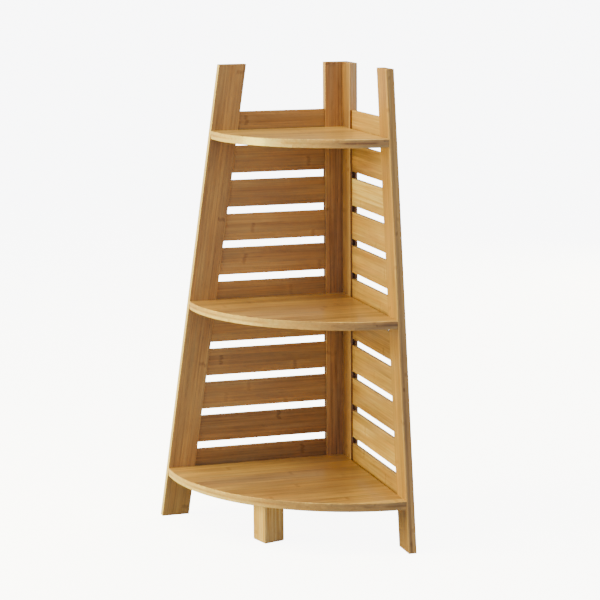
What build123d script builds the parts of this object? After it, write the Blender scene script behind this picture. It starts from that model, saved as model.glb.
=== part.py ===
from build123d import *
import os

# A free-standing corner shelf unit in laminated bamboo.  Two slatted ladder panels meet at a right
# angle, carry three quarter-round shelves and stand on four stiles, with one short leg in front.
# Millimetres, +Z up.  The origin is on the floor, at the middle of the rectangle that the unit covers.
# The back panel lies along X at the +Y side, and the side panel lies along Y at the +X side.

# --- driving dimensions ------------------------------------------------------------------------

HEIGHT = 800.0                 # stiles, floor to top
PANEL_THICK = 14.0             # stile thickness, and so the thickness of each panel
PANEL_FOOT = 354.0             # width of a panel at the floor
PANEL_TOP = 237.5              # width of a panel at the top
REAR_STILE = 45.0              # width of the upright stile in the corner
FRONT_STILE = 49.0             # width of the raked stile, measured level
STILE_EDGE = 0.8               # rounding of the stile edges

SLAT_THICK = 6.0
SLAT_PITCH = 60.0
SLAT_GAP = 12.3                # open space between two slats
SLAT_COUNT = 11
TOP_GAP_CENTRE = 663.5         # height of the middle of the highest gap
SLAT_EDGE = 0.5                # rounding of the slat edges
GROOVE_DEPTH = 8.0             # depth of the stile grooves that hold the slat ends

SHELF_THICK = 14.5
SHELF_TOPS = {"top_shelf": 685.5, "middle_shelf": 386.5, "bottom_shelf": 87.5}
SHELF_BULGE = 0.41             # rise of the front arc over its chord, as a part of half the chord
SHELF_EDGE = 1.2               # rounding of the shelf's front edges

LEG_SIDE = 38.5
LEG_CENTRE = 213.2             # leg axis, measured from the outer face of either panel
LEG_TURN = 16.0                # the leg is screwed in until tight, so it stands turned by this angle
LEG_EDGE = 1.5

SCREW_DIA = 4.0
SCREW_LENGTH = 35.0
SCREW_HEAD_DIA = 8.0
SCREW_TIP_DIA = 1.0
SCREW_TIP_LENGTH = 4.0
SCREW_RECESS_DIA = 2.6         # drive recess in a screw head
SCREW_RECESS_DEPTH = 1.6
SHELF_SCREW_REAR = {"back": 29.0, "side": 32.0}   # screw axis from the panel's corner edge
SHELF_SCREW_FRONT = 28.0       # screw axis from the inner edge of the raked stile
CORNER_SCREW_HEIGHTS = (45.0, 235.0, 530.0, 760.0)

BOLT_DIA = 6.0                 # hanger bolt that holds the leg
BOLT_IN_LEG = 34.0
BOLT_IN_SHELF = 9.0
INSERT_DIA = 10.0              # threaded insert in the underside of the bottom shelf
INSERT_LENGTH = 11.0

# --- derived positions -------------------------------------------------------------------------

CORNER_X = PANEL_FOOT / 2                       # outer face of the side panel
CORNER_Y = (PANEL_FOOT + PANEL_THICK) / 2       # outer face of the back panel
SLAT_HEIGHT = SLAT_PITCH - SLAT_GAP
SLAT_INSET = (PANEL_THICK - SLAT_THICK) / 2     # slats lie this far behind the stile faces
TOP_SLAT_BOTTOM = TOP_GAP_CENTRE + SLAT_GAP / 2
RAKE = (PANEL_FOOT - PANEL_TOP) / HEIGHT        # how far the raked stile leans in, per mm of height

INNER_X = CORNER_X - PANEL_THICK                # inner face of the side panel
INNER_Y = CORNER_Y - PANEL_THICK                # inner face of the back panel

# A panel is drawn flat: local x runs from its corner edge to the front and local y is height.  Its
# stiles and slats are alike on both faces, so local z may count from the inner face, as it does in
# the back panel, or from the outer face, as in the side panel.  The side panel's corner edge butts
# against the inner face of the back panel.
BACK_PLANE = Plane(origin=(CORNER_X, INNER_Y, 0), x_dir=(-1, 0, 0), z_dir=(0, 1, 0))
SIDE_PLANE = Plane(origin=(CORNER_X, INNER_Y, 0), x_dir=(0, -1, 0), z_dir=(-1, 0, 0))


def front_edge(height):
    """Distance from the panel's corner edge to its raked front edge."""
    return PANEL_FOOT - RAKE * height


def inner_edge(height):
    """Distance from the panel's corner edge to the slat side of the raked stile."""
    return front_edge(height) - FRONT_STILE


def slat_span(number):
    """Bottom and top of a slat, counted from 1 at the top."""
    bottom = TOP_SLAT_BOTTOM - SLAT_PITCH * (number - 1)
    return bottom, bottom + SLAT_HEIGHT


def plate(points, thick, lift=0.0):
    """A flat plate with the given outline, its lower face at the given local height."""
    outline = make_face(Polyline(*points, close=True))
    return extrude(Pos(0, 0, lift) * outline, thick)


# --- fasteners ---------------------------------------------------------------------------------

def screw_shape(recess=True):
    """A countersunk screw along +Z, with the top of its head at z = 0."""
    cone_height = (SCREW_HEAD_DIA - SCREW_DIA) / 2
    head = Pos(0, 0, cone_height / 2) * Cone(SCREW_HEAD_DIA / 2, SCREW_DIA / 2, cone_height)
    shank_height = SCREW_LENGTH - cone_height - SCREW_TIP_LENGTH
    shank = Pos(0, 0, cone_height + shank_height / 2) * Cylinder(SCREW_DIA / 2, shank_height)
    tip_middle = SCREW_LENGTH - SCREW_TIP_LENGTH / 2
    tip = Pos(0, 0, tip_middle) * Cone(SCREW_DIA / 2, SCREW_TIP_DIA / 2, SCREW_TIP_LENGTH)
    body = head + shank + tip
    if recess:
        body -= Pos(0, 0, SCREW_RECESS_DEPTH / 2) * Cylinder(SCREW_RECESS_DIA / 2, SCREW_RECESS_DEPTH)
    return body


def screw_place(panel, across, height):
    """Where a screw enters the outer face of a panel, at a distance from the panel's corner edge."""
    if panel == "back":
        return Plane(origin=(CORNER_X - across, CORNER_Y, height), z_dir=(0, -1, 0)).location
    return Plane(origin=(CORNER_X, INNER_Y - across, height), z_dir=(-1, 0, 0)).location


def shelf_screw_places(panel, shelf_top):
    """Places of the two screws that hold one shelf to one panel, the rear stile's first."""
    height = shelf_top - SHELF_THICK / 2
    front = inner_edge(height) + SHELF_SCREW_FRONT
    return [screw_place(panel, across, height) for across in (SHELF_SCREW_REAR[panel], front)]


shelf_screws = {
    (panel, shelf): shelf_screw_places(panel, top)
    for panel in ("back", "side")
    for shelf, top in SHELF_TOPS.items()
}
corner_screws = [screw_place("back", PANEL_THICK / 2, height) for height in CORNER_SCREW_HEIGHTS]


def bored(solid, places):
    """The solid with screw holes at the given places."""
    hole = screw_shape(recess=False)
    for place in places:
        solid -= place * hole
    return solid


def screws_at(places):
    return Compound([place * screw_shape() for place in places])


# --- panels ------------------------------------------------------------------------------------

def groove_range():
    """Lowest and highest point of the grooves that hold the slats."""
    return slat_span(SLAT_COUNT)[0], slat_span(1)[1]


def rear_stile():
    body = plate([(0, 0), (REAR_STILE, 0), (REAR_STILE, HEIGHT), (0, HEIGHT)], PANEL_THICK)
    body = fillet(body.edges(), STILE_EDGE)
    low, high = groove_range()
    start = REAR_STILE - GROOVE_DEPTH
    groove = [(start, low), (REAR_STILE, low), (REAR_STILE, high), (start, high)]
    return body - plate(groove, SLAT_THICK, SLAT_INSET)


def front_stile():
    corners = [
        (inner_edge(0), 0),
        (front_edge(0), 0),
        (front_edge(HEIGHT), HEIGHT),
        (inner_edge(HEIGHT), HEIGHT),
    ]
    body = plate(corners, PANEL_THICK)
    body = fillet(body.edges(), STILE_EDGE)
    low, high = groove_range()
    groove = [
        (inner_edge(low), low),
        (inner_edge(low) + GROOVE_DEPTH, low),
        (inner_edge(high) + GROOVE_DEPTH, high),
        (inner_edge(high), high),
    ]
    return body - plate(groove, SLAT_THICK, SLAT_INSET)


def slat(number):
    low, high = slat_span(number)
    start = REAR_STILE - GROOVE_DEPTH
    corners = [
        (start, low),
        (inner_edge(low) + GROOVE_DEPTH, low),
        (inner_edge(high) + GROOVE_DEPTH, high),
        (start, high),
    ]
    body = plate(corners, SLAT_THICK, SLAT_INSET)
    long_edges = body.edges().filter_by(Axis.X)
    return fillet(long_edges, SLAT_EDGE)


def panel_parts(name, plane):
    """Stiles and slats of one panel, placed in the unit."""
    parts = {
        f"{name}_rear_stile": plane * rear_stile(),
        f"{name}_front_stile": plane * front_stile(),
    }
    for number in range(1, SLAT_COUNT + 1):
        parts[f"{name}_slat_{number:02d}"] = plane * slat(number)
    return parts


# --- shelves and leg ---------------------------------------------------------------------------

def shelf(top):
    """A quarter-round shelf whose two tips reach the front edges of the raked stiles."""
    back_tip = Vector(CORNER_X - front_edge(top), INNER_Y)
    side_tip = Vector(INNER_X, INNER_Y - front_edge(top))
    half_chord = (side_tip - back_tip).length / 2
    chord_middle = (back_tip + side_tip) / 2
    outward = Vector(-1, -1).normalized()
    arc_middle = chord_middle + outward * (SHELF_BULGE * half_chord)
    outline = Wire([
        ThreePointArc(back_tip, arc_middle, side_tip),
        Line(side_tip, (INNER_X, INNER_Y)),
        Line((INNER_X, INNER_Y), back_tip),
    ])
    body = extrude(Pos(0, 0, top - SHELF_THICK) * make_face(outline), SHELF_THICK)
    arcs = body.edges().filter_by(GeomType.CIRCLE)
    return fillet(arcs, SHELF_EDGE)


leg_axis = Pos(CORNER_X - LEG_CENTRE, CORNER_Y - LEG_CENTRE, 0)
leg_top = SHELF_TOPS["bottom_shelf"] - SHELF_THICK


def front_leg():
    body = extrude(Rectangle(LEG_SIDE, LEG_SIDE), leg_top)
    body = fillet(body.edges().filter_by(Axis.Z), LEG_EDGE)
    body = chamfer(body.faces().sort_by(Axis.Z)[0].edges(), LEG_EDGE)
    bore = Pos(0, 0, leg_top - BOLT_IN_LEG / 2) * Cylinder(BOLT_DIA / 2, BOLT_IN_LEG)
    return leg_axis * Rot(0, 0, LEG_TURN) * (body - bore)


def leg_bolt():
    length = BOLT_IN_LEG + BOLT_IN_SHELF
    bolt = Pos(0, 0, leg_top - BOLT_IN_LEG + length / 2) * Cylinder(BOLT_DIA / 2, length)
    return leg_axis * bolt


def leg_insert(hollow=True):
    sleeve = Pos(0, 0, leg_top + INSERT_LENGTH / 2) * Cylinder(INSERT_DIA / 2, INSERT_LENGTH)
    if hollow:
        sleeve -= Pos(0, 0, leg_top + BOLT_IN_SHELF / 2) * Cylinder(BOLT_DIA / 2, BOLT_IN_SHELF)
    return leg_axis * sleeve


# --- the unit ----------------------------------------------------------------------------------

parts = panel_parts("back", BACK_PLANE) | panel_parts("side", SIDE_PLANE)

for shelf_name, shelf_top in SHELF_TOPS.items():
    places = shelf_screws["back", shelf_name] + shelf_screws["side", shelf_name]
    parts[shelf_name] = bored(shelf(shelf_top), places)
    parts[f"{shelf_name}_screws"] = screws_at(places)

for panel in ("back", "side"):
    places = [shelf_screws[panel, shelf_name] for shelf_name in SHELF_TOPS]
    rear_places = [place for place, _ in places]
    front_places = [place for _, place in places]
    parts[f"{panel}_rear_stile"] = bored(parts[f"{panel}_rear_stile"], rear_places + corner_screws)
    parts[f"{panel}_front_stile"] = bored(parts[f"{panel}_front_stile"], front_places)

parts["corner_screws"] = screws_at(corner_screws)
parts["bottom_shelf"] -= leg_insert(hollow=False)
parts["front_leg"] = front_leg()
parts["leg_hanger_bolt"] = leg_bolt()
parts["leg_threaded_insert"] = leg_insert()

os.makedirs("parts", exist_ok=True)
for part_name, part_shape in parts.items():
    export_step(part_shape, f"parts/{part_name}.step")
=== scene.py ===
import math
import random

import bpy
from mathutils import Matrix, Quaternion, Vector

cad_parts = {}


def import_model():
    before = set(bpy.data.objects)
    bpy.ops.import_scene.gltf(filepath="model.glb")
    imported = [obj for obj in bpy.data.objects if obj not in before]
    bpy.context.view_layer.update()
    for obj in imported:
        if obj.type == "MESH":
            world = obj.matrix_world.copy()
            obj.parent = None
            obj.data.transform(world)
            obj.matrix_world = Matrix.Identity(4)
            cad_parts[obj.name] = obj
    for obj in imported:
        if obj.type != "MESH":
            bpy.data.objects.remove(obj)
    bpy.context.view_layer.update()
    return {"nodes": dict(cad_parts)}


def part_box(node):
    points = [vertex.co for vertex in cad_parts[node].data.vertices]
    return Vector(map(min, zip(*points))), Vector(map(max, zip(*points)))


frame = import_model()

# A free-standing corner shelf unit in clear-lacquered laminated bamboo.  Metres, +Z up, in the frame
# of the CAD model.  The back panel lies along X at the +Y side, and the side panel along Y at +X.

# --- camera, measured from the unit's outer corner ------------------------------------------------

CAMERA_OFFSET = Vector((-1.12280, -3.42750, 1.00300))
AIM_OFFSET = Vector((-0.07950, 0.03450, 0.36810))
CAMERA_ROLL = -0.43            # degrees
SENSOR_WIDTH = 36.0            # mm
FOCAL_LENGTH = 121.25          # mm

# --- light and floor ------------------------------------------------------------------------------

LIGHT_TARGET = Vector((0.0, 0.0, 0.40))
KEY = (1.00, 0.887, 0.155)
OVERHEAD = (1.00, 0.877, 0.180)
LIGHTS = {                     # direction from the target, distance, side of the square, power in W, colour
    "key_left": ((-1.0, 0.18, 0.12), 2.6, 1.0, 93.0, KEY),
    "near_left": ((-1.0, 0.18, 0.12), 1.3, 0.5, 9.2, KEY),
    "top_left": ((-0.6, 0.0, 1.0), 2.4, 1.3, 52.0, OVERHEAD),
    "over": ((0.0, 0.0, 1.0), 2.4, 0.8, 47.0, OVERHEAD),
    "front_right": ((0.4, -1.0, 0.40), 3.0, 1.6, 10.4, OVERHEAD),
    "back_right": ((1.0, 0.8, 0.35), 3.2, 1.8, 90.0, OVERHEAD),
}
AMBIENT = 0.35
AMBIENT_TINT = (1.00, 1.25, 2.25)
REFLECTED_TINT = (1.00, 0.95, 0.86)       # what the lacquer reflects of the room
BACKDROP_TINT = (1.0, 1.0, 1.0)
BACKDROP_GLOW = 9.0            # how much brighter than the ambient light the backdrop is to the camera
PAPER_COLOUR = (0.80, 0.80, 0.79)         # the floor that the camera sees
PAPER_BOUNCE = (0.45, 0.45, 0.48)         # the floor that throws light back on the unit
PAPER_GLOW = 8.0               # how bright the floor is beyond the light that falls on it
PAPER_GLOW_TINT = (1.0, 1.0, 0.99)
FLOOR_REACH = 80.0             # half the side of the floor

# --- boards: sizes --------------------------------------------------------------------------------

FRONT_STILE_WIDTH = 0.049      # level width of the raked stiles
LEG_TURN = math.radians(16.0)
LEG_SIDE = 0.0385
SHELF_BULGE = 0.41             # rise of a shelf's front arc over its chord, as a part of half the chord
SLAT_LAMINATE = 0.0175, 0.006  # width of a strip and thickness of a ply
STILE_LAMINATE = 0.0125, 0.004
LEG_LAMINATE = 0.0185, 0.0062
SHELF_STRIP = 0.021
SHELF_PLIES = 3
EDGE_WEAR_AND_HIGHLIGHT = 0.0026, 0.0004     # how far in from an edge its paler wear starts, and where it is full; the paler band is partly a painted highlight

# --- boards: looks --------------------------------------------------------------------------------
# A tone is added to a board's place in BAMBOO_STOPS: above 0 is paler, and below 0 darker.

SEED_RANGE = 40                # of the random place where a board's strips start
LACQUER = 0.30, 0.26           # weight and roughness of the lacquer
SHELF_LACQUER = 0.60, 0.16
GRAIN_BUMP = 0.35, 0.00025     # strength and depth
PLAIN = (1, 1, 1)              # the tint of a board that has none
END_DARKER = -0.16             # tone of the end grain; a shelf's front edge has its own
END_SHADES = 0.15, 0.80        # how squarely a surface cuts the grain where that tone starts and is full
END_DOTS = 0.75, 0.98          # the same for the dots of the fibre bundles
NARROW_SIDE = 0.2, 0.6         # how squarely a surface faces through the plies: a narrow side, and a face

SLAT_FIGURES = {"back": 0.68, "side": 1.0}   # contrast of the grain; the rear stiles and the leg have 1
FRONT_STILE_FIGURE = 0.78
SHELF_FIGURES = 1.35, 0.50     # on the faces and on the front edge

# of slats 1 to 11 from the top down: the tone, and how much paler the front end is than the middle.  The
# tones are partly each slat's own and partly painted shade, with a painted shadow on side slats 2 and 7
# under the shelves, and the paler front end is painted shade that darkens each slat towards the rear corner
SLAT_TONES = {
    "back": (-0.22, -0.07, -0.12, -0.03, -0.03, -0.17, -0.10, -0.17, -0.12, -0.30, -0.30),
    "side": (-0.01, -0.28, 0.27, 0.02, -0.02, -0.02, -0.26, 0.02, -0.02, 0.09, -0.01),
}
SLAT_CORNER_SHADES = {
    "back": (0.0, 0.16, 0.06, 0.05, 0.05, 0.0, 0.0, 0.03, 0.06, 0.0, 0.0),
    "side": (0.0, 0.24, 0.0, 0.0, 0.0, 0.0, 0.05, 0.03, 0.0, 0.0, 0.0),
}

# tone, corner shade, tint, and the tones that the narrow side facing forward adds above slat 1 and below
# its top.  The dark tone is partly the stile's own and partly painted shade of the rear corner, the corner
# shade darkens it further towards the corner, the bluer tint gives that painted shade its colour, and the
# narrow side gets a painted highlight above slat 1 and a painted shadow beside the slats
REAR_STILES = {
    "back": (-0.19, -0.03, (1.0, 1.0, 1.10), 0.48, -0.32),
    "side": (-0.26, 0.22, (1.0, 1.0, 1.30), 0.30, -0.55),
}
FRONT_STILES = {"back": (-0.16, 0.75, 0.75), "side": (-0.17, 0.08, 0.08)}   # with no corner shade and no tint; the two numbers after the tone are a painted highlight on the narrow side facing forward
FACES_FORWARD = -0.5, -0.8     # the normal along the panel where a side starts to face forward, and does
TONE_STEP = 0.001              # half height of the change of tone at the top of slat 1

LEG_TONE = 0.38
LEG_TINT = (1.07, 0.97, 0.78)

# tone of a shelf, and how squarely its front edge must cross the grain before it turns paler with painted
# light from the left
SHELVES = {"top_shelf": (0.15, 0.14), "middle_shelf": (-0.01, 0.18), "bottom_shelf": (0.04, 0.40)}
EDGE_LIGHT_TONES = -0.18, 0.42       # a shelf's front edge, along the grain and across it: painted shade where it faces forward, and painted light where it faces the light at the left
EDGE_ACROSS = 0.95             # how squarely the edge crosses the grain where it is palest
EDGE_UPRIGHT = 0.6, 0.2        # how level a surface is: a face, and the front edge
CORE_LINE = 0.0011             # half height of the dark middle ply in a shelf's edge
CORE_TONE = -0.34
CORE_PATCHES = 9.0             # scale per metre of the patches where the middle ply shows
CORE_SHOWS = 0.42, 0.58        # noise at which it starts to show and shows fully
PLY_TONES = 0.03, -0.16        # lower and upper ply of the edge, where the middle one shows


# --- node tree helper -----------------------------------------------------------------------------

class Tree:
    """Builds one node tree.  A value may be a number, a vector, a colour or another node's socket."""

    def __init__(self, tree):
        self.tree = tree

    def node(self, kind, inputs=None, **settings):
        made = self.tree.nodes.new(kind)
        for name, value in settings.items():
            setattr(made, name, value)
        for key, value in (inputs or {}).items():
            self.put(made.inputs[key], value)
        return made

    def put(self, socket, value):
        if isinstance(value, bpy.types.NodeSocket):
            self.tree.links.new(value, socket)
        else:
            socket.default_value = value

    def math(self, operation, *values):
        made = self.node("ShaderNodeMath", operation=operation)
        for socket, value in zip(made.inputs, values):
            self.put(socket, value)
        return made.outputs[0]

    def vector(self, operation, *values):
        made = self.node("ShaderNodeVectorMath", operation=operation)
        for socket, value in zip(made.inputs, values):
            self.put(socket, value)
        return made.outputs["Value" if operation in ("DOT_PRODUCT", "LENGTH") else "Vector"]

    def combine(self, x, y, z):
        return self.node("ShaderNodeCombineXYZ", {0: x, 1: y, 2: z}).outputs[0]

    def split(self, vector):
        return self.node("ShaderNodeSeparateXYZ", {0: vector}).outputs[:]

    def facing(self, normal, axis):
        """How squarely a surface faces along an axis, either way, from 0 to 1."""
        return self.math("ABSOLUTE", self.vector("DOT_PRODUCT", normal, axis))

    def step(self, value, start, end, low=0.0, high=1.0):
        """A smooth step from low at start to high at end."""
        inputs = {"Value": value, "From Min": start, "From Max": end, "To Min": low, "To Max": high}
        return self.node("ShaderNodeMapRange", inputs, interpolation_type="SMOOTHSTEP").outputs[0]

    def weigh(self, start, features, weights):
        """start plus each feature named in weights times its weight."""
        total = start
        for name, weight in weights.items():
            total = self.math("MULTIPLY_ADD", features[name], weight, total)
        return total

    def noise(self, vector, detail=2.0, roughness=0.5):
        inputs = {"Vector": vector, "Scale": 1.0, "Detail": detail, "Roughness": roughness}
        return self.node("ShaderNodeTexNoise", inputs).outputs[0]

    def scaled_noise(self, point, along, across, detail, roughness):
        """Noise with one scale along the point's x and another along its y and z."""
        return self.noise(self.vector("MULTIPLY", point, (along, across, across)), detail, roughness)

    def mix(self, factor, a, b):
        """Mixes two colours.  The node's colour sockets share their names with others."""
        colour_a, colour_b, colour_out = 6, 7, 2
        inputs = {"Factor": factor, colour_a: a, colour_b: b}
        return self.node("ShaderNodeMix", inputs, data_type="RGBA").outputs[colour_out]

    def ramp(self, value, stops):
        made = self.node("ShaderNodeValToRGB", {"Fac": value})
        ramp = made.color_ramp
        while len(ramp.elements) < len(stops):
            ramp.elements.new(0.5)
        for element, (place, colour) in zip(ramp.elements, stops):
            element.position = place
            element.color = opaque(colour)
        return made.outputs["Color"]


def opaque(colour):
    return (*colour, 1.0)


def empty_tree(owner):
    """The node tree of a new material or world, with nothing in it."""
    owner.use_nodes = True
    owner.node_tree.nodes.clear()
    return Tree(owner.node_tree)


# --- bamboo ---------------------------------------------------------------------------------------

BAMBOO_STOPS = [
    (0.00, (0.205, 0.092, 0.034)),
    (0.30, (0.370, 0.192, 0.074)),
    (0.55, (0.505, 0.285, 0.100)),
    (0.80, (0.620, 0.380, 0.140)),
    (1.00, (0.780, 0.560, 0.265)),
]
BASE_TONE = 0.52               # place of plain bamboo in the stops
BASE_ROUGHNESS = 0.30
HUE_SPREAD = 0.26, -0.10, -0.60   # how red, green and blue change as a patch gets redder
STRIP_HUE = 0.20               # how much a strip's own hue counts beside that of the patches

PLY_STAGGER = 0.37             # how far the strips of one ply are set off from the next ply's, in strips
GRAIN_SHIFT = 9.0              # how far along the noise a strip's grain may start, in metres
JOINT_WIDTH = 0.00035          # half width of a glue line
NODE_SPACING = 0.26            # distance between the knuckles of the cane
NODE_SHIFT = 7.0               # how far along a strip's knuckles may start, in spacings
NODE_WAVE = 0.012              # how far a knuckle's line wanders along the grain
KNUCKLE_REACH = 0.0050, 0.0012   # distance from a knuckle where its dark line starts, and where it is full
HALO_REACH = 0.022, 0.004      # the same for the paler halo round it
KNUCKLE_DRAWS = 0.15, 0.7      # a strip's draw up to which it has no dark line, and where it has a full one

# noise along the grain: its scales per metre along and across, its detail and its roughness
NOISES = {
    "streaks": (5.0, 210.0, 2.0, 0.55),
    "lines": (8.0, 460.0, 1.0, 0.50),
    "fibres": (22.0, 1300.0, 2.0, 0.60),
    "clouds": (7.0, 26.0, 2.0, 0.50),
    "patches": (9.0, 60.0, 2.0, 0.50),
}
VESSELS = 55.0, 900.0, 1.0, 0.50
VESSEL_SHOWS = 0.60, 0.72      # noise at which a vessel line starts and is full
BUNDLES = 1000.0               # fibre bundles per metre of end grain
BUNDLE_DOT = 0.42, 0.18        # distance from a bundle's middle where its dot starts and is full, in cells

# what each feature adds to the tone, the roughness and the height
FIGURE_TONES = {
    "strips": 0.26,
    "streaks": 0.70,
    "fibres": 0.30,
    "lines": 0.60,
    "clouds": 0.55,
    "vessels": -0.16,
}
# edge: the paler worn edges are partly a painted highlight
MARK_TONES = {"halo": 0.05, "knuckle": -0.22, "joint": -0.14, "dots": -0.22, "edge": 0.10}
ROUGHNESSES = {"fibres": 0.16, "end": 0.18, "edge": 0.08}
HEIGHTS = {"streaks": 0.6, "fibres": 0.5, "vessels": -0.35, "joint": -0.5, "knuckle": 0.4}


def bamboo_sockets(face):
    for name in ("Place", "Tint"):
        face.new_socket(name, in_out="INPUT", socket_type="NodeSocketVector")
    for name in ("Strip", "Ply", "Seed", "Figure", "Tone", "Edge", "End"):
        face.new_socket(name, in_out="INPUT", socket_type="NodeSocketFloat")
    face.new_socket("Color", in_out="OUTPUT", socket_type="NodeSocketColor")
    for name in ("Roughness", "Height"):
        face.new_socket(name, in_out="OUTPUT", socket_type="NodeSocketFloat")


def knuckle_marks(t, along, streaks, start, strength):
    """The dark line and the halo where a strip crosses a node of the cane."""
    wave = t.math("MULTIPLY_ADD", streaks, NODE_WAVE, -NODE_WAVE / 2)
    place = t.math("DIVIDE", t.math("ADD", along, wave), NODE_SPACING)
    turn = t.math("FRACT", t.math("ADD", place, t.math("MULTIPLY", start, NODE_SHIFT)))
    gap = t.math("MULTIPLY", t.math("ABSOLUTE", t.math("SUBTRACT", turn, 0.5)), NODE_SPACING)
    line = t.math("MULTIPLY", t.step(gap, *KNUCKLE_REACH), t.step(strength, *KNUCKLE_DRAWS))
    return line, t.step(gap, *HALO_REACH)


def glue_lines(t, strip_place, strip, ply_place, ply):
    """The joints between strips and between plies."""
    across_gap = t.math("MULTIPLY", t.math("PINGPONG", strip_place, 0.5), strip)
    ply_gap = t.math("MULTIPLY", t.math("PINGPONG", ply_place, 0.5), ply)
    return t.step(t.math("MINIMUM", across_gap, ply_gap), JOINT_WIDTH, 0.0)


def end_dots(t, grain, end):
    """The dark fibre bundles of the end grain."""
    bundles = t.node("ShaderNodeTexVoronoi", {"Vector": grain, "Scale": BUNDLES}).outputs["Distance"]
    return t.math("MULTIPLY", t.step(bundles, *BUNDLE_DOT), end)


def bamboo_group():
    """Laminated bamboo in a board's own coordinates: x along the grain, y across, z through it."""
    tree = bpy.data.node_groups.new("laminated_bamboo", "ShaderNodeTree")
    bamboo_sockets(tree.interface)
    t = Tree(tree)
    given = t.node("NodeGroupInput").outputs
    along, across, through = t.split(given["Place"])

    # the strips that the board is glued up from, in plies whose strips are staggered
    ply_place = t.math("DIVIDE", through, given["Ply"])
    ply = t.math("FLOOR", ply_place)
    stagger = t.math("MULTIPLY_ADD", ply, PLY_STAGGER, given["Seed"])
    strip_place = t.math("ADD", t.math("DIVIDE", across, given["Strip"]), stagger)
    cell = t.combine(t.math("FLOOR", strip_place), ply, given["Seed"])
    draws = t.node("ShaderNodeTexWhiteNoise", {"Vector": cell}, noise_dimensions="3D").outputs["Color"]
    shade, start, strength = t.split(draws)

    # the grain of each strip, shifted along so that no two strips are the same
    shift = t.math("MULTIPLY", start, GRAIN_SHIFT)
    grain = t.combine(t.math("ADD", along, shift), across, through)
    noises = {name: t.scaled_noise(grain, *shape) for name, shape in NOISES.items()}
    noises["strips"] = shade
    centred = {name: t.math("SUBTRACT", noise, 0.5) for name, noise in noises.items()}

    knuckle, halo = knuckle_marks(t, along, noises["streaks"], start, strength)
    marks = {
        "vessels": t.step(t.scaled_noise(grain, *VESSELS), *VESSEL_SHOWS),
        "joint": glue_lines(t, strip_place, given["Strip"], ply_place, given["Ply"]),
        "knuckle": knuckle,
        "halo": halo,
        "dots": end_dots(t, grain, given["End"]),
        "edge": given["Edge"],
        "end": given["End"],
    }

    value = t.weigh(0.0, {**marks, **centred}, FIGURE_TONES)
    value = t.math("MULTIPLY_ADD", value, given["Figure"], BASE_TONE)
    value = t.weigh(value, marks, MARK_TONES)
    value = t.math("ADD", value, given["Tone"])

    # some strips and patches are redder, and others more yellow or grey
    hue = t.math("MULTIPLY_ADD", centred["strips"], STRIP_HUE, centred["patches"])
    cast = t.vector("MULTIPLY_ADD", t.combine(hue, hue, hue), HUE_SPREAD, given["Tint"])

    t.node("NodeGroupOutput", {
        "Color": t.vector("MULTIPLY", t.ramp(value, BAMBOO_STOPS), cast),
        "Roughness": t.weigh(BASE_ROUGHNESS, {**marks, **noises}, ROUGHNESSES),
        "Height": t.weigh(0.0, {**marks, **noises}, HEIGHTS),
    })
    return tree


BAMBOO = bamboo_group()
rng = random.Random(7)


def bamboo_material(name, origin, axes, laminate, tone, edges, end_tone=END_DARKER, shade=None,
                    lacquer=LACQUER, figure=1.0, side_figure=None, tint=PLAIN):
    """Bamboo laid in one board.  axes are the grain, across and through directions.

    laminate is the width of a strip and the thickness of a ply.  edges gives the wear, paler partly as a
    painted highlight, from the tree, the object's point and the board's own place.  end_tone is added to
    the tone where the surface cuts across the grain.  shade may add painted light and shade to the tone
    elsewhere.  figure is the contrast of the grain, and side_figure the contrast on the narrow sides where
    that differs.  tint multiplies the colour.
    """
    material = bpy.data.materials.new(name)
    t = empty_tree(material)
    coordinates = t.node("ShaderNodeTexCoord").outputs
    point, normal = coordinates["Object"], coordinates["Normal"]
    turn = Matrix(axes).transposed().to_euler("XYZ")
    inputs = {"Vector": point, "Location": origin, "Rotation": turn}
    place = t.node("ShaderNodeMapping", inputs, vector_type="TEXTURE").outputs[0]

    cut = t.facing(normal, axes[0])
    tone = t.step(cut, *END_SHADES, tone, tone + end_tone)
    if shade:
        tone = t.math("ADD", tone, shade(t, point, normal))
    if side_figure is not None:
        figure = t.step(t.facing(normal, axes[2]), *NARROW_SIDE, side_figure, figure)

    strip, ply = laminate
    group = t.node("ShaderNodeGroup", node_tree=BAMBOO)
    values = {
        "Place": place,
        "Strip": strip,
        "Ply": ply,
        "Seed": rng.random() * SEED_RANGE,
        "Figure": figure,
        "Tone": tone,
        "Tint": tint,
        "Edge": edges(t, point, place),
        "End": t.step(cut, *END_DOTS),
    }
    for key, value in values.items():
        t.put(group.inputs[key], value)

    strength, depth = GRAIN_BUMP
    inputs = {"Strength": strength, "Distance": depth, "Height": group.outputs["Height"]}
    bump = t.node("ShaderNodeBump", inputs)
    shader = t.node("ShaderNodeBsdfPrincipled", {
        "Base Color": group.outputs["Color"],
        "Roughness": group.outputs["Roughness"],
        "Normal": bump.outputs[0],
        "Coat Weight": lacquer[0],
        "Coat Roughness": lacquer[1],
    })
    t.node("ShaderNodeOutputMaterial", {"Surface": shader.outputs[0]})
    return material


# --- worn edges, paler partly as a painted highlight ----------------------------------------------

def edge_band(t, sides):
    """How near a point is to an edge, from 0 to 1, given its signed distances past each face pair."""
    x, y, z = sides
    low = t.math("MINIMUM", x, y)
    high = t.math("MAXIMUM", x, y)
    middle = t.math("MAXIMUM", low, t.math("MINIMUM", high, z))
    start, full = EDGE_WEAR_AND_HIGHLIGHT
    return t.step(middle, -start, -full)


def box_edges(t, place, half):
    """Worn edges, paler partly as a painted highlight, of a board whose own coordinates run from -half to
    half.
    """
    past = t.vector("SUBTRACT", t.vector("ABSOLUTE", place), half)
    return edge_band(t, t.split(past))


def board_edges(half):
    return lambda t, point, place: box_edges(t, place, half)


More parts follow.
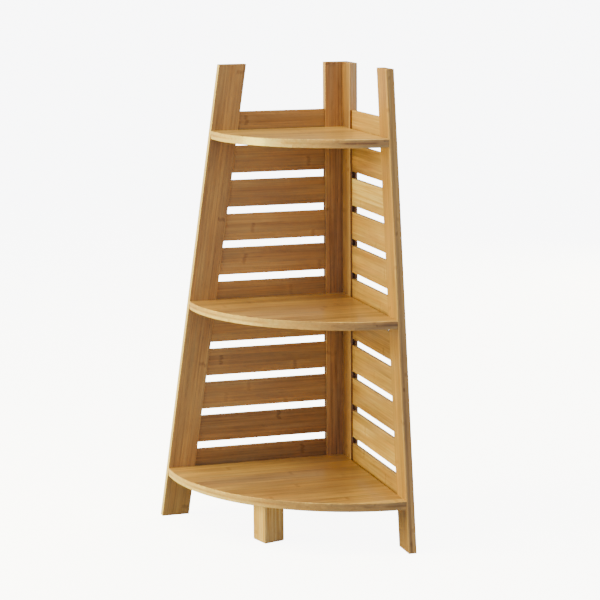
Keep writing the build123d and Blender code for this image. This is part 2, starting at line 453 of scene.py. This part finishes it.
def raked_edges(t, point, low, high, axis, rake):
    """Worn edges, paler partly as a painted highlight, of a raked stile.  axis is the number of the axis
    that the stile leans along.
    """
    x, y, z = t.split(point)
    level = [x, y]
    level[axis] = t.math("MULTIPLY_ADD", z, -rake, level[axis])
    centre = (low + high) / 2
    half = (high - low) / 2
    centre[axis] = low[axis] + FRONT_STILE_WIDTH / 2
    half[axis] = FRONT_STILE_WIDTH / 2
    offset = t.vector("SUBTRACT", t.combine(*level, z), centre)
    return box_edges(t, offset, half)


def shelf_edges(t, point, centre, radius, half):
    """Worn edges, paler partly as a painted highlight, along the front arc of a shelf."""
    x, y, z = t.split(t.vector("SUBTRACT", point, centre))
    out = t.math("SUBTRACT", t.vector("LENGTH", t.combine(x, y, 0.0)), radius)
    past = t.math("SUBTRACT", t.math("ABSOLUTE", z), half)
    inside = -1.0              # nowhere near an edge along the third pair
    return edge_band(t, (out, past, inside))


# --- hardware metals ------------------------------------------------------------------------------

STEEL = (0.62, 0.61, 0.58), (0.42, 0.40, 0.37), 0.26   # colour, colour of the dull spots, roughness
BRASS = (0.80, 0.58, 0.26), (0.50, 0.34, 0.15), 0.30
SPOTS = 420.0, 420.0, 3.0, 0.60           # noise: scales per metre, detail and roughness
SPOT_SHOWS = 0.52, 0.70        # noise at which a spot starts and is full
MARKS = (3500.0, 3500.0, 900.0)           # turning marks per metre
MARK_DETAIL = 1.0
MARK_ROUGHER = 0.18
SPOT_ROUGHER = 0.15
METAL_BUMP = 0.3, 0.00005      # strength and depth


def metal_material(name, colour, stain, roughness):
    """Plated metal with fine turning marks and a few dull spots."""
    material = bpy.data.materials.new(name)
    t = empty_tree(material)
    point = t.node("ShaderNodeTexCoord").outputs["Object"]
    spots = t.step(t.scaled_noise(point, *SPOTS), *SPOT_SHOWS)
    marks = t.noise(t.vector("MULTIPLY", point, MARKS), MARK_DETAIL)
    rough = t.math("MULTIPLY_ADD", marks, MARK_ROUGHER, roughness)
    rough = t.math("MULTIPLY_ADD", spots, SPOT_ROUGHER, rough)
    strength, depth = METAL_BUMP
    bump = t.node("ShaderNodeBump", {"Strength": strength, "Distance": depth, "Height": marks})
    shader = t.node("ShaderNodeBsdfPrincipled", {
        "Base Color": t.mix(spots, opaque(colour), opaque(stain)),
        "Metallic": 1.0,
        "Roughness": rough,
        "Normal": bump.outputs[0],
    })
    t.node("ShaderNodeOutputMaterial", {"Surface": shader.outputs[0]})
    return material


# --- dressing the nodes ---------------------------------------------------------------------------

X, Y, Z = Vector((1, 0, 0)), Vector((0, 1, 0)), Vector((0, 0, 1))
# the number of the axis that a panel lies along, its direction, and the direction through the panel
PANEL_AXES = {"back": (0, X, Y), "side": (1, Y, X)}


def dress(name, material):
    """Puts a material on a CAD node."""
    for material_slot in frame["nodes"][name].material_slots:
        material_slot.material = material


def dress_board(name, *layout, **looks):
    dress(name, bamboo_material(name + "_bamboo", *layout, **looks))


def middle_and_half(name):
    low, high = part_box(name)
    return (low + high) / 2, (high - low) / 2


def painted_corner_shade(axis, centre, half, corner_shade):
    """Painted shade: added tone of a board that gets darker towards the rear corner of its panel and paler
    towards the front.
    """

    def shade(t, point, normal):
        along = t.math("SUBTRACT", t.split(point)[axis], centre[axis])
        return t.math("MULTIPLY", along, -corner_shade / half[axis])

    return shade


def painted_narrow_side_light(run, above, beside):
    """Added tone of the narrow side of a stile that faces forward, above slat 1 and beside the slats: a
    paler tone is a painted highlight, and a darker one painted shadow in the recess beside the slats.
    """
    slat_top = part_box("back_slat_01")[1].z

    def shade(t, point, normal):
        forward = t.step(t.vector("DOT_PRODUCT", normal, run), *FACES_FORWARD)
        height = t.split(point)[2]
        added = t.step(height, slat_top - TONE_STEP, slat_top + TONE_STEP, beside, above)
        return t.math("MULTIPLY", forward, added)

    return shade


def dress_slat(name, panel, tone, corner_shade):
    axis, run, through = PANEL_AXES[panel]
    centre, half = middle_and_half(name)
    edges = board_edges((half[axis], half.z, half[1 - axis]))
    # the tone and the darker rear end are partly painted shade: a shadow under the shelves and shade in the
    # rear corner
    dress_board(name, centre, (run, Z, through), SLAT_LAMINATE, tone, edges,
                shade=painted_corner_shade(axis, centre, half, corner_shade), figure=SLAT_FIGURES[panel])


def dress_rear_stile(name, panel, tone, corner_shade, tint, *narrow_light_tones):
    axis, run, through = PANEL_AXES[panel]
    centre, half = middle_and_half(name)
    edges = board_edges((half.z, half[axis], half[1 - axis]))
    narrow_light = painted_narrow_side_light(run, *narrow_light_tones)
    # painted shade: the stile darkens towards the rear corner
    shaded_corner = painted_corner_shade(axis, centre, half, corner_shade)

    def shade(t, point, normal):
        return t.math("ADD", narrow_light(t, point, normal), shaded_corner(t, point, normal))

    dress_board(name, centre, (Z, run, through), STILE_LAMINATE, tone, edges, shade=shade, tint=tint)


def dress_front_stile(name, panel, tone, *narrow_light_tones):
    axis, run, through = PANEL_AXES[panel]
    low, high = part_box(name)
    rake = (high[axis] - low[axis] - FRONT_STILE_WIDTH) / (high.z - low.z)
    grain = (Z + rake * run).normalized()
    across = (run - rake * Z).normalized()

    def edges(t, point, place):
        return raked_edges(t, point, low, high, axis, rake)

    # the narrow side facing forward gets a painted highlight
    dress_board(name, (low + high) / 2, (grain, across, through), STILE_LAMINATE, tone, edges,
                shade=painted_narrow_side_light(run, *narrow_light_tones), figure=FRONT_STILE_FIGURE)


def shelf_arc(low, high):
    """The centre and the radius of a shelf's front arc, in plan."""
    tips = Vector((low.x, high.y)), Vector((high.x, low.y))
    half_chord = (tips[0] - tips[1]).length / 2
    rise = SHELF_BULGE * half_chord
    radius = (half_chord ** 2 + rise ** 2) / (2 * rise)
    outward = Vector((-1, -1)).normalized()
    arc_top = (tips[0] + tips[1]) / 2 + outward * rise
    return arc_top - outward * radius, radius


def shelf_edge_tone_and_light(low, high, pale_from):
    """Tone of a shelf's front edge, with the dark middle ply that shows along parts of it, and painted
    light: paler where the edge faces the light at the left, across the grain, and darker where it faces
    forward.
    """
    middle = (low.z + high.z) / 2

    def shade(t, point, normal):
        x, _, z = t.split(point)
        upright = t.step(t.facing(normal, Z), *EDGE_UPRIGHT)
        patches = t.noise(t.combine(t.math("MULTIPLY", x, CORE_PATCHES), low.z, 0.0))
        shown = t.step(patches, *CORE_SHOWS)
        height = t.math("ABSOLUTE", t.math("SUBTRACT", z, middle))
        line = t.math("MULTIPLY", t.step(height, 2 * CORE_LINE, CORE_LINE), shown)
        # painted light and shade: paler where the edge faces the light at the left, darker where it faces
        # forward
        lit_across_grain = t.step(t.facing(normal, X), pale_from, EDGE_ACROSS, *EDGE_LIGHT_TONES)
        added = t.math("MULTIPLY_ADD", line, CORE_TONE, lit_across_grain)
        plies = t.step(z, middle - CORE_LINE, middle + CORE_LINE, *PLY_TONES)
        added = t.math("MULTIPLY_ADD", plies, shown, added)
        return t.math("MULTIPLY", upright, added)

    return shade


def dress_shelf(name, tone, pale_from):
    low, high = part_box(name)
    thickness = high.z - low.z
    centre, radius = shelf_arc(low, high)
    arc_middle = (centre.x, centre.y, (low.z + high.z) / 2)

    def edges(t, point, place):
        return shelf_edges(t, point, arc_middle, radius, thickness / 2)

    corner = (high.x, high.y, low.z)
    face_figure, edge_figure = SHELF_FIGURES
    dress_board(name, corner, (X, Y, Z), (SHELF_STRIP, thickness / SHELF_PLIES), tone, edges,
                end_tone=0.0, shade=shelf_edge_tone_and_light(low, high, pale_from), lacquer=SHELF_LACQUER,
                figure=face_figure, side_figure=edge_figure)


def dress_leg(name):
    centre, half = middle_and_half(name)
    across = Vector((math.cos(LEG_TURN), math.sin(LEG_TURN), 0))
    through = Vector((-math.sin(LEG_TURN), math.cos(LEG_TURN), 0))
    edges = board_edges((half.z, LEG_SIDE / 2, LEG_SIDE / 2))
    dress_board(name, centre, (Z, across, through), LEG_LAMINATE, LEG_TONE, edges, tint=LEG_TINT)


def dress_hardware():
    steel = metal_material("zinc_plated_steel", *STEEL)
    for name in sorted(frame["nodes"]):
        if name.endswith("screws") or name == "leg_hanger_bolt":
            dress(name, steel)
    dress("leg_threaded_insert", metal_material("insert_brass", *BRASS))


def dress_unit():
    for panel, tones in SLAT_TONES.items():
        dress_rear_stile(f"{panel}_rear_stile", panel, *REAR_STILES[panel])
        dress_front_stile(f"{panel}_front_stile", panel, *FRONT_STILES[panel])
        for number, (tone, corner_shade) in enumerate(zip(tones, SLAT_CORNER_SHADES[panel]), 1):
            dress_slat(f"{panel}_slat_{number:02d}", panel, tone, corner_shade)
    for name, setting in SHELVES.items():
        dress_shelf(name, *setting)
    dress_leg("front_leg")
    dress_hardware()


# --- floor, light and camera ----------------------------------------------------------------------

def paper_material():
    """Pale studio paper.  To the camera it glows, as a lit backdrop does."""
    material = bpy.data.materials.new("pale_paper")
    t = empty_tree(material)
    matte = t.node("ShaderNodeBsdfDiffuse", {"Color": opaque(PAPER_COLOUR)})
    bounce = t.node("ShaderNodeBsdfDiffuse", {"Color": opaque(PAPER_BOUNCE)})
    glow = t.node("ShaderNodeEmission", {"Color": opaque(PAPER_GLOW_TINT), "Strength": PAPER_GLOW})
    both = t.node("ShaderNodeAddShader", {0: matte.outputs[0], 1: glow.outputs[0]})
    seen = t.node("ShaderNodeLightPath").outputs["Is Camera Ray"]
    shown = t.node("ShaderNodeMixShader", {0: seen, 1: bounce.outputs[0], 2: both.outputs[0]})
    t.node("ShaderNodeOutputMaterial", {"Surface": shown.outputs[0]})
    return material


def floor():
    far = FLOOR_REACH
    corners = [(-far, -far, 0), (far, -far, 0), (far, far, 0), (-far, far, 0)]
    mesh = bpy.data.meshes.new("studio_floor")
    mesh.from_pydata(corners, [], [(0, 1, 2, 3)])
    mesh.materials.append(paper_material())
    plane = bpy.data.objects.new("studio_floor", mesh)
    bpy.context.scene.collection.objects.link(plane)


def world():
    """Even ambient light, with the backdrop bright behind it."""
    made = bpy.data.worlds.new("studio")
    t = empty_tree(made)
    rays = t.node("ShaderNodeLightPath").outputs
    seen = rays["Is Camera Ray"]
    strength = t.math("MULTIPLY_ADD", seen, BACKDROP_GLOW, AMBIENT)
    tint = t.mix(rays["Is Glossy Ray"], opaque(AMBIENT_TINT), opaque(REFLECTED_TINT))
    tint = t.mix(seen, tint, opaque(BACKDROP_TINT))
    sky = t.node("ShaderNodeBackground", {"Color": tint, "Strength": strength})
    t.node("ShaderNodeOutputWorld", {"Surface": sky.outputs[0]})
    bpy.context.scene.world = made


def softbox(name, direction, distance, side, power, colour):
    data = bpy.data.lights.new(name, "AREA")
    data.shape = "SQUARE"
    data.size = side
    data.energy = power
    data.color = colour
    lamp = bpy.data.objects.new(name, data)
    bpy.context.scene.collection.objects.link(lamp)
    towards = Vector(direction).normalized()
    lamp.location = LIGHT_TARGET + towards * distance
    lamp.rotation_euler = towards.to_track_quat("Z", "Y").to_euler()


def camera():
    corner = Vector((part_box("side_rear_stile")[1].x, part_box("back_rear_stile")[1].y, 0.0))
    place = corner + CAMERA_OFFSET
    aim = corner + AIM_OFFSET
    data = bpy.data.cameras.new("camera")
    data.sensor_width = SENSOR_WIDTH
    data.lens = FOCAL_LENGTH
    seen = bpy.data.objects.new("camera", data)
    bpy.context.scene.collection.objects.link(seen)
    seen.location = place
    level = (aim - place).to_track_quat("-Z", "Y")
    roll = Quaternion((0, 0, 1), math.radians(CAMERA_ROLL))
    seen.rotation_euler = (level @ roll).to_euler()
    bpy.context.scene.camera = seen


camera()
world()
for lamp_name, setting in LIGHTS.items():
    softbox(lamp_name, *setting)
floor()
dress_unit()
